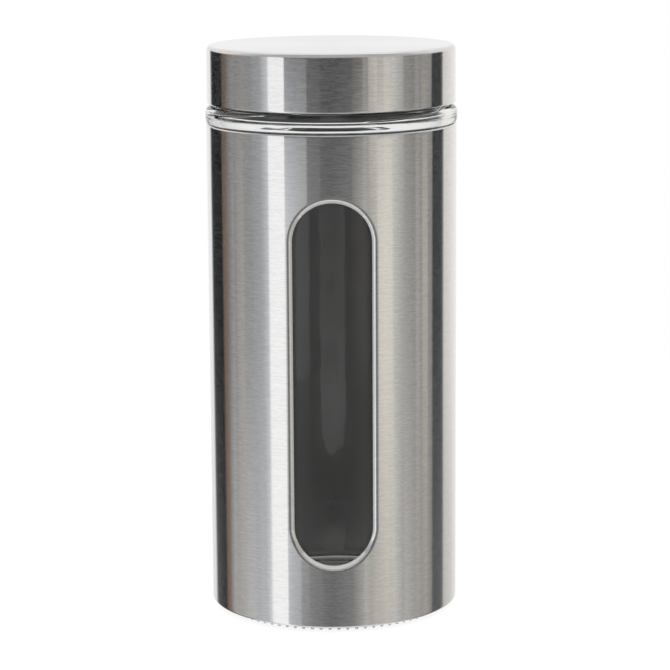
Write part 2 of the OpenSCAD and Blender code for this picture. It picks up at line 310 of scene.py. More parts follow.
def wall_with_hole(radius, seam):
    """One skin of the sleeve. Returns its lowest and highest rows and the loop at the hole."""
    count = len(sleeve_turns)
    low_hole, high_hole = hole_heights(WINDOW_LOW, -1), hole_heights(WINDOW_TOP, 1)
    below = stepped_rows(radius, [SLEEVE_Z0 + ROLL_R] * count, low_hole, seam)
    above = stepped_rows(radius, high_hole, [SLEEVE_Z1 - ROLL_R] * count, seam)
    under, over = below[-1], above[0]
    right, left = window_side(radius, under, over, seam)
    front = range(END_STEPS + 1)
    loop = [under[c] for c in front] + right + [over[c] for c in reversed(front)] + left[::-1]
    return below[0], above[-1], loop


outer_low, outer_high, outer_loop = wall_with_hole(SLEEVE_R, SEAM_DEPTH)
inner_low, inner_high, inner_loop = wall_with_hole(SLEEVE_R - GAUGE, 0)
print("points round the hole:", len(outer_loop))

# %% [markdown]
# ## The sleeve: the bent edge of the window
#
# Round the window the sheet is bent in to the glass. A short bend starts flush with the wall, and
# a straight slope follows it down to the cut edge, which is slightly rounded. The steepness of the
# slope decides which part of the room it mirrors, so it was read from the light and dark lines on
# the real edge. The loop of points round the hole is repeated at each step of that section.

# %% Loops of the bent edge
BEVEL_W = 2.7
BEVEL_ARC_R = 2.6
BEVEL_TILT = math.radians(43)
BEVEL_BENT = BEVEL_ARC_R * math.sin(BEVEL_TILT)
BEVEL_INSETS = (0, 0.15, 0.3, 0.5, 0.7, 0.9, 1.1, 1.3, 1.5, 1.7, 1.95, 2.2, 2.45)
BEVEL_BACK = 2.3
EDGE_ROUND = GAUGE * math.cos(BEVEL_TILT) / 2
EDGE_STEPS = 8


def window_loop(inset, radius):
    """The window's outline at an inset from its outer edge, laid on a radius. One half of it is
    the other half turned upside down."""
    half = WINDOW_HALF - inset
    flat = [(half * math.cos(a), WINDOW_LOW - half * math.sin(a)) for a in end_angles]
    rise = [WINDOW_LOW + (WINDOW_TOP - WINDOW_LOW) * i / SIDE_STEPS for i in range(1, SIDE_STEPS)]
    flat += [(half, z) for z in rise]
    flat += [(-x, WINDOW_LOW + WINDOW_TOP - z) for x, z in flat]
    return skin.row([(x, -math.sqrt(radius ** 2 - x ** 2), z) for x, z in flat])


def bevel_depth(inset):
    """How far behind the wall the front of the bent edge lies."""
    bent = min(inset, BEVEL_BENT)
    straight = (inset - bent) * math.tan(BEVEL_TILT)
    return BEVEL_ARC_R - math.sqrt(BEVEL_ARC_R ** 2 - bent ** 2) + straight


def bevel_section():
    """Inset and depth of the bent edge: front face, rounded cut edge, back face."""
    front = [(inset, bevel_depth(inset)) for inset in BEVEL_INSETS]
    lean, level = math.sin(BEVEL_TILT), math.cos(BEVEL_TILT)
    normal, along = (lean, -level), (level, lean)
    hub = (BEVEL_W - EDGE_ROUND * lean, bevel_depth(BEVEL_W) + EDGE_ROUND * level)
    rim = []
    for i in range(EDGE_STEPS + 1):
        a = math.pi * i / EDGE_STEPS
        rim.append(tuple(h + EDGE_ROUND * (n * math.cos(a) + t * math.sin(a))
                         for h, n, t in zip(hub, normal, along)))
    back = [(inset, depth + GAUGE) for inset, depth in reversed(front) if 0 < inset < BEVEL_BACK]
    return front + rim + back


loops = [outer_loop]
loops += [window_loop(inset, SLEEVE_R - depth) for inset, depth in bevel_section()]
loops += [inner_loop]
skin.join(*loops)
print("the window's edge ends", round(bevel_depth(BEVEL_W), 2), "mm behind the wall")

# %% [markdown]
# ## The sleeve: its rolled edges
#
# At the top and at the bottom the sheet is rolled in over the glass, which stiffens it and holds
# it on the jar. The two skins meet there. One section leads from the outer skin round the bend to
# the lip and back to the inner skin, and it is mirrored for the lower edge.

# %% Roll the edges and finish the sleeve
LIP_SOFT = 0.15


def rolled_edge(z, direction, lip_r):
    """Section of a rolled-in edge, from the outer skin round the lip to the inner skin."""
    hub = (SLEEVE_R - ROLL_R, z - direction * ROLL_R)
    near = LIP_SOFT * 0.3
    outer = bend(hub, ROLL_R, 0, 90 * direction, 10)[1:]
    tip = [(lip_r + LIP_SOFT, z), (lip_r + near, z - direction * near)]
    tip += [(lip_r, z - direction * LIP_SOFT)]
    tip += [(r, 2 * z - direction * GAUGE - h) for r, h in reversed(tip)]
    inner = bend(hub, ROLL_R - GAUGE, 90 * direction, 0, 8)[:-1]
    return outer + tip + inner


for z, direction, lip_r, first, last in (
    (SLEEVE_Z1, 1, UPPER_LIP_R, outer_high, inner_high),
    (SLEEVE_Z0, -1, LOWER_LIP_R, outer_low, inner_low),
):
    edge = rolled_edge(z, direction, lip_r)
    rows = [wall_row(r, [h] * len(sleeve_turns)) for r, h in edge]
    skin.join(first, *rows, last)

window_sleeve = skin.finished("window_sleeve", "jar", "steel_sleeve")

# %% [markdown]
# ## The lid's steel cap
#
# The cap is drawn from one disc of steel: a flat top, a tight round corner, a straight side and a
# lower edge that is rolled in to hold the liner. Its whole form is one section from the middle of
# the underside, down the inside, round the roll and back up to the middle of the top.

# %% Build the steel cap
cap_low, cap_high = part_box("lid_shell")
CAP_R = cap_high.x / MM
CAP_Z0 = cap_low.z / MM
CAP_Z1 = cap_high.z / MM
CAP_GAUGE = 0.5
CAP_CORNER_R = 2.0
CAP_FAN_R = 0.8
HEM_R = 1.0
HEM_LIP = 0.55
HEM_LIP_R = CAP_R - HEM_R - HEM_LIP
HEM_SOFT = 0.12
CAP_COLUMNS = 240

corner_hub = (CAP_R - CAP_CORNER_R, CAP_Z1 - CAP_CORNER_R)
hem_hub = (CAP_R - HEM_R, CAP_Z0 + HEM_R)
cap_section = section(
    run((CAP_FAN_R, CAP_Z1 - CAP_GAUGE), (corner_hub[0], CAP_Z1 - CAP_GAUGE), 4),
    bend(corner_hub, CAP_CORNER_R - CAP_GAUGE, 90, 0),
    run((CAP_R - CAP_GAUGE, corner_hub[1]), (CAP_R - CAP_GAUGE, hem_hub[1]), 3),
    bend(hem_hub, HEM_R - CAP_GAUGE, 0, -90, 6),
    [(HEM_LIP_R + HEM_SOFT, CAP_Z0 + CAP_GAUGE), (HEM_LIP_R, CAP_Z0 + CAP_GAUGE - HEM_SOFT)],
    [(HEM_LIP_R, CAP_Z0 + HEM_SOFT), (HEM_LIP_R + HEM_SOFT, CAP_Z0)],
    bend(hem_hub, HEM_R, -90, 0, 10),
    run((CAP_R, hem_hub[1]), (CAP_R, corner_hub[1]), 3),
    bend(corner_hub, CAP_CORNER_R, 0, 90, 14),
    run((corner_hub[0], CAP_Z1), (CAP_FAN_R, CAP_Z1), 6),
)
skin = Skin()
rows = skin.turned(cap_section, even_turns(CAP_COLUMNS))
skin.fan(rows[0], (0, 0, CAP_Z1 - CAP_GAUGE))
skin.fan(rows[-1], (0, 0, CAP_Z1))
steel_cap = skin.finished("steel_cap", "lid", "lid_shell")

# %% [markdown]
# ## The glass jar: its section
#
# Pressed glass has no sharp edges: everything runs into everything else. So the jar is one closed
# skin, from the hollow under its base up the outside, over the rim and down to the floor inside.
# The band at the neck and the shoulder inside it work as lenses. Their arcs were found by
# following how the light and dark lines in the real neck bend.

# %% Measures of the glass
BASE_Z = 0.9
HOLLOW_R = 45.6
BODY_R = 53.05
HEEL_R = 3.25
FOOT_R = BODY_R - HEEL_R
CAVITY_R = 50.2
FLOOR_Z = 6.4
FLOOR_CORNER_R = 6.0
PUSH_UP = 3.0
DOME_R = (HOLLOW_R ** 2 + PUSH_UP ** 2) / (2 * PUSH_UP)
BAND_R = 55.335
BAND_Z0 = 217.5
BAND_Z1 = 224.8
BAND_TOP_R = 3.2
BAND_LOW_R = 8.9
BAND_LOW_Z = 220.15
BAND_EDGE_R = 0.15
BAND_UPRIGHT = 0.6
NECK_R = 51.3
NECK_BORE_R = 48.0
NECK_FILLET_R = 0.8
RIM_Z = 247.25
RIM_OUT_R = 1.1
RIM_IN_R = 1.2
SHOULDER_Z0 = 218.6
SHOULDER_LOW_R = 7.5
SHOULDER_TOP_R = 8.0
SHOULDER_LEAN = 18
KNURL_RING_OUT = 50.6
FLOOR_ROWS = (44.3, 42, 38, 32, 24, 16, 8, 1)
GLASS_COLUMNS = 360

band_hub = (BAND_R - BAND_TOP_R, BAND_Z1 - BAND_TOP_R)
band_tuck = math.degrees(math.asin((BAND_LOW_Z - BAND_Z0 - BAND_EDGE_R) / BAND_LOW_R))
band_edge = BAND_R - BAND_LOW_R * (1 - math.cos(math.radians(band_tuck)))
heel_start = math.degrees(math.asin((KNURL_RING_OUT - FOOT_R) / HEEL_R)) - 90
print("the neck band's lower arc spans", round(band_tuck, 1), "degrees")

# %% The section of the jar
def dome_height(radius, foot_z):
    """Height of the low dome over its foot."""
    return foot_z + PUSH_UP - DOME_R + math.sqrt(DOME_R ** 2 - radius ** 2)


outside = section(
    bend((FOOT_R, BASE_Z + HEEL_R), HEEL_R, heel_start, 0, 12),
    run((BODY_R, BASE_Z + HEEL_R), (BODY_R, BAND_Z0), 6),
    [(band_edge - 4 * BAND_EDGE_R, BAND_Z0)],
    [(band_edge - BAND_EDGE_R, BAND_Z0 + 0.3 * BAND_EDGE_R)],
    bend((BAND_R - BAND_LOW_R, BAND_LOW_Z), BAND_LOW_R, -band_tuck, 0, 14),
    run((BAND_R, band_hub[1] - BAND_UPRIGHT), (BAND_R, band_hub[1])),
    bend(band_hub, BAND_TOP_R, 0, 90, 36),
    bend((NECK_R + NECK_FILLET_R, BAND_Z1 + NECK_FILLET_R), NECK_FILLET_R, 270, 180, 10),
    run((NECK_R, BAND_Z1 + NECK_FILLET_R), (NECK_R, RIM_Z - RIM_OUT_R), 64),
    bend((NECK_R - RIM_OUT_R, RIM_Z - RIM_OUT_R), RIM_OUT_R, 0, 90, 8),
)
lean = math.radians(SHOULDER_LEAN)
arcs = SHOULDER_LOW_R + SHOULDER_TOP_R
fall = CAVITY_R - NECK_BORE_R - arcs * (1 - math.cos(lean))
rise = fall / math.tan(lean) + arcs * math.sin(lean)
shoulder_top = SHOULDER_Z0 + rise
top_hub = (NECK_BORE_R + SHOULDER_TOP_R, shoulder_top)
low_hub = (CAVITY_R - SHOULDER_LOW_R, SHOULDER_Z0)
shoulder = bend(top_hub, SHOULDER_TOP_R, 180, 180 + SHOULDER_LEAN, 6)
shoulder += bend(low_hub, SHOULDER_LOW_R, SHOULDER_LEAN, 0, 10)
print("the shoulder inside ends at", round(shoulder_top, 2))
inside = section(
    bend((NECK_BORE_R + RIM_IN_R, RIM_Z - RIM_IN_R), RIM_IN_R, 90, 180, 8),
    run((NECK_BORE_R, RIM_Z - RIM_IN_R), (NECK_BORE_R, shoulder_top), 4),
    shoulder,
    run((CAVITY_R, SHOULDER_Z0), (CAVITY_R, FLOOR_Z + FLOOR_CORNER_R), 8),
    bend((CAVITY_R - FLOOR_CORNER_R, FLOOR_Z + FLOOR_CORNER_R), FLOOR_CORNER_R, 0, -80, 12),
    [(r, dome_height(r, FLOOR_Z)) for r in FLOOR_ROWS],
)
print("points in the glass section:", len(outside) + len(inside))

# %% [markdown]
# ## The glass jar: its thread
#
# The screw thread isn't joined on. It is a relief: points near the middle line of a ridge are
# pushed out along the section's own normal, which gives the soft roots that pressed glass has.
# Each of the four ridges starts as a low tail on the round corner of the neck band, crosses to
# the neck and then climbs round it.

# %% The middle line of a thread
THREAD_STARTS = 4
THREAD_RISE = 20 / 360
THREAD_DEPTH = 1.1
THREAD_HALF_W = 1.3
THREAD_ARC = 165
THREAD_START = 54
THREAD_Z = BAND_Z1 - THREAD_DEPTH / 2
TAIL_ARC = 40
TAIL_DROP = 1.6
TAIL_DEPTH = 0.35
TAIL_HALF_W = 0.62
MERGE_ARC = 20
FADE_SHARE = 0.12
FADE_START = 0.25
CREST_SHARE = 0.35
THREAD_CLEAR = 1


def ridge_at(turn):
    """Middle, half width and height of a thread in the section, at an angle from its start."""
    climb = 1 + min(0, turn) / TAIL_ARC
    lean_z = THREAD_Z - TAIL_DROP * (1 - climb ** 2)
    lean = math.asin((lean_z - band_hub[1]) / BAND_TOP_R)
    low = (band_hub[0] + BAND_TOP_R * math.cos(lean), lean_z)
    high = (NECK_R, THREAD_Z + THREAD_RISE * max(0, turn))
    knee = (NECK_R + NECK_FILLET_R, BAND_Z1)
    merge = smooth_step(turn / MERGE_ARC)
    middle = tuple(
        a * (1 - merge) ** 2 + 2 * k * merge * (1 - merge) + b * merge ** 2
        for a, k, b in zip(low, knee, high)
    )
    tail = TAIL_DEPTH * max(0, min(1, climb / FADE_SHARE - FADE_START))
    crest = THREAD_DEPTH * max(0, min(1, (1 - turn / THREAD_ARC) / FADE_SHARE - FADE_START))
    half_width = TAIL_HALF_W + (THREAD_HALF_W - TAIL_HALF_W) * merge
    return middle, half_width, tail + (crest - tail) * merge


print("a thread climbs", round(THREAD_RISE * THREAD_ARC, 1), "mm")


# %% Relief of the thread on the outside of the neck
def ridge_push(point, middle, half_width, height):
    """How far a ridge lifts a point of the section."""
    share = 1 - math.dist(point, middle) / half_width
    return height * smooth_step(share / (1 - CREST_SHARE))


def normals_of(outline):
    """Outward normal of the section at each of its points."""
    made = []
    for i in range(len(outline)):
        before, after = outline[max(0, i - 1)], outline[min(len(outline) - 1, i + 1)]
        across, up = after[0] - before[0], after[1] - before[1]
        length = math.hypot(across, up)
        made.append((up / length, -across / length))
    return made


outside_normals = normals_of(outside)
ridges_at_turn = {}
for turn in even_turns(GLASS_COLUMNS):
    found = []
    for i in range(THREAD_STARTS):
        along = (turn - THREAD_START - i * 360 / THREAD_STARTS + TAIL_ARC) % 360 - TAIL_ARC
        if along < THREAD_ARC:
            found.append(ridge_at(along))
    ridges_at_turn[turn] = found


def thread_relief(i, turn):
    """A point of the outside section, lifted where a thread passes."""
    point = outside[i]
    if point[1] < band_hub[1] - THREAD_CLEAR:
        return point
    push = max([ridge_push(point, *ridge) for ridge in ridges_at_turn[turn]] + [0])
    return tuple(p + push * n for p, n in zip(point, outside_normals[i]))


print("ridges passing the middle of the window:", len(ridges_at_turn[0]))

# %% [markdown]
# ## The glass jar: knurls under the base
#
# The jar stands on eighty small pressed knurls. They could be eighty cones pushed into the base,
# but glass shows every inner face. Instead the flat ring under the base is filled with triangles
# that leave a round hole for each knurl, and each hole is closed by the knurl itself, so the skin
# stays one piece.

# %% The knurls and the ring that they stand on
KNURL_COUNT = 80
KNURL_RING_R = 49.375
KNURL_POINTS = 16
KNURL_SIDE = ((0.85, 0.0), (0.79, 0.06), (0.72, 0.2), (0.6, 0.66), (0.54, 0.83), (0.42, 0.9))
KNURL_CLEAR = 0.2
RING_ROWS = (HOLLOW_R, 46.4, 47.3, KNURL_RING_OUT)
HOLLOW_ROWS = (1, 8, 16, 24, 32, 38, 42, 44.5)


def ring_height(radius):
    """Height of the glass under the base: flat, then the start of the heel."""
    past = max(0, radius - FOOT_R)
    return BASE_Z + HEEL_R - math.sqrt(HEEL_R ** 2 - past ** 2)


def knurl_hub(i):
    """The axis of one knurl, seen from above."""
    return around(KNURL_RING_R, 360 * (i + 0.5) / KNURL_COUNT, 0)[:2]


def knurl_circle(i, radius):
    """A circle round the axis of one knurl, seen from above."""
    x, y = knurl_hub(i)
    angles = [2 * math.pi * k / KNURL_POINTS for k in range(KNURL_POINTS)]
    return [(x + radius * math.cos(a), y + radius * math.sin(a)) for a in angles]


def fill_ring(skin, turns):
    """Triangles of the ring under the base, with a hole at each knurl."""
    flat = [around(r, turn, 0)[:2] for r in RING_ROWS for turn in turns]
    root_r = KNURL_SIDE[0][0]
    for i in range(KNURL_COUNT):
        flat += knurl_circle(i, root_r) + knurl_circle(i, root_r + KNURL_CLEAR)
    made = delaunay_2d_cdt([tuple(p) for p in flat], [], [], 0, 1e-6)
    places, triangles = made[0], made[2]
    hubs = [knurl_hub(i) for i in range(KNURL_COUNT)]
    numbers = skin.row([(p.x, p.y, ring_height(math.hypot(p.x, p.y))) for p in places])
    for face in triangles:
        x = sum(places[k].x for k in face) / 3
        y = sum(places[k].y for k in face) / 3
        index = int((math.degrees(math.atan2(x, -y)) % 360) / 360 * KNURL_COUNT)
        if math.hypot(x, y) < HOLLOW_R * math.cos(math.pi / GLASS_COLUMNS):
            continue
        if math.dist((x, y), hubs[index]) < root_r * math.cos(math.pi / KNURL_POINTS):
            continue
        skin.faces.append(tuple(numbers[k] for k in face))


def knurl(skin, i):
    """One knurl, from its root on the ring to its rounded foot."""
    rows = []
    for radius, drop in KNURL_SIDE:
        share = drop / BASE_Z
        circle = knurl_circle(i, radius)
        heights = [ring_height(math.hypot(x, y)) * (1 - share) for x, y in circle]
        rows.append(skin.row([(x, y, z) for (x, y), z in zip(circle, heights)]))
    skin.join(*reversed(rows))
    skin.faces.append(tuple(rows[-1]))


print("pitch of the knurls in mm:", round(2 * math.pi * KNURL_RING_R / KNURL_COUNT, 2))

# %% Build the jar
skin = Skin()
glass_turns = even_turns(GLASS_COLUMNS)
hollow = [(r, dome_height(r, BASE_Z)) for r in HOLLOW_ROWS] + [(HOLLOW_R, BASE_Z)]
hollow_rows = skin.turned(hollow, glass_turns)
skin.fan(hollow_rows[0], (0, 0, dome_height(0, BASE_Z)))
fill_ring(skin, glass_turns)
for i in range(KNURL_COUNT):
    knurl(skin, i)
outside_rows = skin.turned(outside, glass_turns, thread_relief)
inside_rows = skin.turned(inside, glass_turns)
skin.join(outside_rows[-1], inside_rows[0])
skin.fan(inside_rows[-1], (0, 0, dome_height(0, FLOOR_Z)))
pressed_glass = skin.finished("pressed_glass", "jar", "glass_jar")

# %% [markdown]
# ## The inside of the lid
#
# Under the steel sits a moulded liner. Its skirt carries four lugs that run under the threads of
# the glass, a rib and a catch hold the seal, and a low ring stiffens the top. All of that is one
# closed section. The lugs could be four small blocks, but then their feet would be hard corners.
# They are a relief again, this time pushed inward from the bore of the skirt.

# %% Build the liner
LINER_R = 54.0
LINER_Z0 = 226.2
LINER_Z1 = 250.5
LINER_BORE_R = 52.9
ROOF_Z = 249.1
LINER_CORNER_R = 1.4
LUG_DEPTH = 1.2
LUG_HALF_W = 1.1
LUG_Z = 227.5
LUG_ARC = 52
LUG_UNDER = 2.5
LUG_START = THREAD_START + (LUG_Z + LUG_UNDER - THREAD_Z) / THREAD_RISE
LUG_ROWS_TOP = 233
LUG_ROW = 0.3
LUG_CLEAR = 1
BORE_FIT = 0.05
LINER_COLUMNS = 240

liner_corner = (LINER_R - LINER_CORNER_R, LINER_Z1 - LINER_CORNER_R)
liner_section = section(
    [(1, ROOF_Z), (12, ROOF_Z), (24.6, ROOF_Z)],
    [(24.9, 249.0), (25.0, 248.7), (25.05, 248.1), (25.2, 247.92), (25.8, 247.92), (25.95, 248.1)],
    [(26.0, 248.7), (26.1, 249.0), (26.4, ROOF_Z), (36, ROOF_Z), (46.2, ROOF_Z)],
    [(46.45, 249.0), (46.5, 248.7), (46.52, 247.4), (46.7, 247.15), (47.3, 247.15), (47.48, 247.4)],
    [(47.5, 248.7), (47.55, 249.0), (47.8, ROOF_Z), (50, ROOF_Z), (52.6, ROOF_Z)],
    [(52.85, 249.0), (52.9, 248.7), (52.9, 247.6), (52.86, 247.42), (52.4, 247.2), (52.32, 247.05)],
    [(52.4, 246.9), (52.86, 246.7), (52.9, 246.5)],
    run((LINER_BORE_R, 246.2), (LINER_BORE_R, LUG_ROWS_TOP), 3),
    [(LINER_BORE_R, LUG_ROWS_TOP - LUG_ROW * i) for i in range(1, 22)],
    [(LINER_BORE_R, 226.45), (LINER_BORE_R + 0.1, 226.24), (LINER_BORE_R + 0.3, LINER_Z0)],
    [(LINER_R - 0.55, LINER_Z0), (LINER_R - 0.42, 226.27), (LINER_R - 0.08, 226.62)],
    [(LINER_R, 226.8)],
    run((LINER_R, 226.8), (LINER_R, liner_corner[1]), 3),
    bend(liner_corner, LINER_CORNER_R, 0, 90),
    run((liner_corner[0], LINER_Z1), (1, LINER_Z1), 3),
)


def lug_relief(i, turn):
    """A point of the liner's section, pushed inward where a lug passes."""
    radius, z = liner_section[i]
    if abs(radius - LINER_BORE_R) > BORE_FIT or z > LUG_ROWS_TOP + LUG_CLEAR:
        return radius, z
    push = 0
    for k in range(THREAD_STARTS):
        along = (turn - LUG_START - k * 360 / THREAD_STARTS) % 360
        ends = min(along, LUG_ARC - along) / LUG_ARC / FADE_SHARE - FADE_START
        share = 1 - abs(z - LUG_Z - THREAD_RISE * along) / LUG_HALF_W
        push = max(push, smooth_step(ends) * smooth_step(share / (1 - CREST_SHARE)))
    return radius - LUG_DEPTH * push, z


skin = Skin()
rows = skin.turned(liner_section, even_turns(LINER_COLUMNS), lug_relief)
skin.fan(rows[0], (0, 0, ROOF_Z))
skin.fan(rows[-1], (0, 0, LINER_Z1))
moulded_liner = skin.finished("moulded_liner", "lid", "lid_liner")

# %% [markdown]
# ## The seal
#
# A flat ring of silicone closes the jar: the glass rim presses into it when the lid is screwed
# down. A squashed torus would be round all over, while the real ring is cut flat and has only soft
# corners. So it is turned from a section of four quarter bends, and its last row meets its first.

# %% Build the seal
SEAL_IN_R = 47.75
SEAL_OUT_R = 52.65
SEAL_Z0 = 247.45
SEAL_Z1 = 249.05
SEAL_SOFT = 0.4
inner_r, outer_r = SEAL_IN_R + SEAL_SOFT, SEAL_OUT_R - SEAL_SOFT
seal_low, seal_high = SEAL_Z0 + SEAL_SOFT, SEAL_Z1 - SEAL_SOFT
seal_section = section(
    bend((inner_r, seal_low), SEAL_SOFT, 180, 270, 5),
    bend((outer_r, seal_low), SEAL_SOFT, 270, 360, 5),
    bend((outer_r, seal_high), SEAL_SOFT, 0, 90, 5),
    bend((inner_r, seal_high), SEAL_SOFT, 90, 180, 5),
)
skin = Skin()
rows = skin.turned(seal_section, even_turns(LINER_COLUMNS))
skin.join(rows[-1], rows[0])
soft_seal = skin.finished("soft_seal", "seal", "seal_ring")

# %% [markdown]
# ## Node helpers
#
# Materials are graphs of nodes. A few helpers keep the wiring readable: one adds a node and sets
# or links its inputs in one go, others do a step of arithmetic or add a noise, and one opens a
# shader group with named inputs and outputs. A group is built once and then placed in each
# material with its own values.

# %% Helpers for nodes
def fill(tree, node, inputs):
    """Sets or links inputs of a node."""
    for name, value in inputs.items():
        if isinstance(value, bpy.types.NodeSocket):
            tree.links.new(value, node.inputs[name])
        else:
            node.inputs[name].default_value = value


def add(tree, kind, inputs=None, **settings):
    """Adds a node, sets its options, and sets or links its inputs."""
    made = tree.nodes.new(kind)
    for name, value in settings.items():
        setattr(made, name, value)
    fill(tree, made, inputs or {})
    return made


def calc(tree, operation, *values):
    """The result of one step of arithmetic on numbers or links."""
    return add(tree, "ShaderNodeMath", dict(enumerate(values)), operation=operation).outputs[0]


def vector(tree, operation, inputs, output="Vector"):
    """The result of one step of vector arithmetic."""
    return add(tree, "ShaderNodeVectorMath", inputs, operation=operation).outputs[output]


def object_noise(tree, scale, detail, roughness=0.5):
    """Noise fixed to the piece."""
    place = add(tree, "ShaderNodeTexCoord").outputs["Object"]
    inputs = {"Vector": place, "Scale": scale, "Detail": detail, "Roughness": roughness}
    return add(tree, "ShaderNodeTexNoise", inputs).outputs["Fac"]


def open_group(name, inputs, outputs):
    """Starts a shader group. Inputs are names with default numbers, outputs are names."""
    tree = bpy.data.node_groups.new(name, "ShaderNodeTree")
    for label, default in inputs.items():
        socket = tree.interface.new_socket(label, in_out="INPUT", socket_type="NodeSocketFloat")
        socket.default_value = default
    for label in outputs:
        tree.interface.new_socket(label, in_out="OUTPUT", socket_type="NodeSocketFloat")
    return tree, tree.nodes.new("NodeGroupInput").outputs, tree.nodes.new("NodeGroupOutput")


def place_group(tree, group, values):
    """Places a finished group in a material and returns its outputs."""
    return add(tree, "ShaderNodeGroup", values, node_tree=group).outputs


helpers = (fill, add, calc, vector, object_noise, open_group, place_group)
print("node helpers:", ", ".join(helper.__name__ for helper in helpers))

# %% [markdown]
# ## Brushing
#
# Steel like this is brushed while it turns: the lines run round the sides and in circles on the
# lid. Noise stretched along the direction of the brush gives them. The direction comes from where
# a point lies: the unit vector from the axis changes slowly round the can, and height minus radius
# changes fast both up the side and across the lid, so one recipe covers both without a map. Three
# noises, from hair-fine to broad, are mixed so that the lines differ in width and length.

# %% The brushing group
BRUSH_LINES = 3000.0
BRUSH_STREAK = 9.0
LINE_SHARE = 0.4
BROAD_SHARE = 0.35
TONE_FROM = 0.43
TONE_TO = 0.57

brushing, given, result = open_group(
    "brushing", {"Lines": BRUSH_LINES, "Streak": BRUSH_STREAK}, ["Tone", "Height"])
place = add(brushing, "ShaderNodeTexCoord").outputs["Object"]
flat = vector(brushing, "MULTIPLY", {0: place, 1: (1, 1, 0)})
radius = vector(brushing, "LENGTH", {0: flat}, "Value")
heading = vector(brushing, "NORMALIZE", {0: flat})
height = add(brushing, "ShaderNodeSeparateXYZ", {0: place}).outputs["Z"]
level = calc(brushing, "SUBTRACT", height, radius)


def brush_noise(fineness, length):
    """Noise drawn out along the brush, finer or coarser than the group's own values."""
    lines = calc(brushing, "MULTIPLY", given["Lines"], fineness)
    streak = calc(brushing, "MULTIPLY", given["Streak"], length)
    across = calc(brushing, "MULTIPLY", level, lines)
    lift = add(brushing, "ShaderNodeCombineXYZ", {"Z": across}).outputs["Vector"]
    along = vector(brushing, "SCALE", {0: heading, "Scale": streak})
    where = vector(brushing, "ADD", {0: along, 1: lift})
    noise = add(brushing, "ShaderNodeTexNoise", {"Vector": where, "Scale": 1.0, "Detail": 0.0})
    return noise.outputs["Fac"]


def mixed(share, one, other):
    """Mixes two noises of the brushing group."""
    inputs = {"Factor": share, "A": one, "B": other}
    return add(brushing, "ShaderNodeMix", inputs).outputs["Result"]


fine = mixed(LINE_SHARE, brush_noise(1.2, 2.8), brush_noise(0.85, 1.9))
both = mixed(BROAD_SHARE, fine, brush_noise(0.8, 0.8))
clear = add(brushing, "ShaderNodeMapRange",
            {"Value": both, "From Min": TONE_FROM, "From Max": TONE_TO})
fill(brushing, result, {"Tone": clear.outputs["Result"], "Height": fine})
print("nodes in the brushing group:", len(brushing.nodes))

# %% [markdown]
# ## Traces of handling
#
# Nothing that has been picked up is evenly clean. A slow noise, cut off so that only its peaks
# remain, makes faint patches where the surface is a little less sharp. Steel, glass and plastic
# all use the same group, each with its own patch size and strength.

# %% The handling group
PEAKS_FROM = 0.56

handling, given, result = open_group("handling", {"Patches": 30.0, "Spread": 0.12}, ["Mask"])
noise = object_noise(handling, given["Patches"], 4.0, 0.6)
peaks_to = calc(handling, "ADD", PEAKS_FROM, given["Spread"])
peaks = add(handling, "ShaderNodeMapRange",
            {"Value": noise, "From Min": PEAKS_FROM, "From Max": peaks_to})
fill(handling, result, {"Mask": peaks.outputs["Result"]})
print("nodes in the handling group:", len(handling.nodes))

# %% [markdown]
# ## Brushed and satin steel
#
# Steel is a metal with a light grey base and an anisotropic highlight: a brushed face spreads a
# reflection across the lines and keeps it crisp along them. The Tangent node gives the direction
# round the axis, and a quarter turn points the spread across the lines. The brushing changes the
# tone and the roughness a little, and lifts the surface by a few thousandths of a millimetre. On
# the sides its lines also scatter some light of their own, which shows where the steel mirrors
# something dark. A small share less of Metallic along the lines does that.

# %% Helpers for materials
def open_material(name):
    """A new material with its Principled shader."""
    material = bpy.data.materials.new(name)
    material.use_nodes = True
    return material, material.node_tree, material.node_tree.nodes["Principled BSDF"]


def spread(tree, value, low, high):
    """Maps a mask from 0 and 1 to two numbers."""
    mapped = add(tree, "ShaderNodeMapRange", {"Value": value, "To Min": low, "To Max": high})
    return mapped.outputs["Result"]


def tint(tree, mask, low, high):
    """Mixes two colours by a mask."""
    inputs = {"Factor": mask, "A": (*low, 1), "B": (*high, 1)}
    return add(tree, "ShaderNodeMix", inputs, data_type="RGBA").outputs["Result"]


def emboss(tree, height, strength, distance):
    """The surface's normal, bent by a mask. The distance is in metres."""
    inputs = {"Height": height, "Strength": strength, "Distance": distance}
    return add(tree, "ShaderNodeBump", inputs).outputs["Normal"]


def wear(piece, *materials):
    """Puts materials on a piece."""
    piece.data.materials.clear()
    for material in materials:
        piece.data.materials.append(material)


helpers = (open_material, spread, tint, emboss, wear)
print("material helpers:", ", ".join(helper.__name__ for helper in helpers))


# %% Brushed steel for the sides, and a satin kind of it for the lid's top, a little lighter there as painted light
BRUSH_LIFT = 0.000004


def brushed_finish(name, lines, streak, rough, marked, colours, spin, lift):
    """Steel brushed round the axis. Returns the material and its tree, shader and brushing."""
    material, tree, shader = open_material(name)
    brush = place_group(tree, brushing, {"Lines": lines, "Streak": streak})
    marks = place_group(tree, handling, {"Patches": 22.0, "Spread": 0.2})
    even = spread(tree, brush["Tone"], *rough)
    fill(tree, shader, {
        "Base Color": tint(tree, brush["Tone"], *colours),
        "Metallic": 1.0,
        "Roughness": calc(tree, "MULTIPLY_ADD", marks["Mask"], marked, even),
        "Anisotropic": spin,
        "Anisotropic Rotation": 0.25,
        "Tangent": add(tree, "ShaderNodeTangent", direction_type="RADIAL", axis="Z").outputs[0],
        "Normal": emboss(tree, brush["Height"], lift, BRUSH_LIFT),
    })
    return material, tree, shader, brush


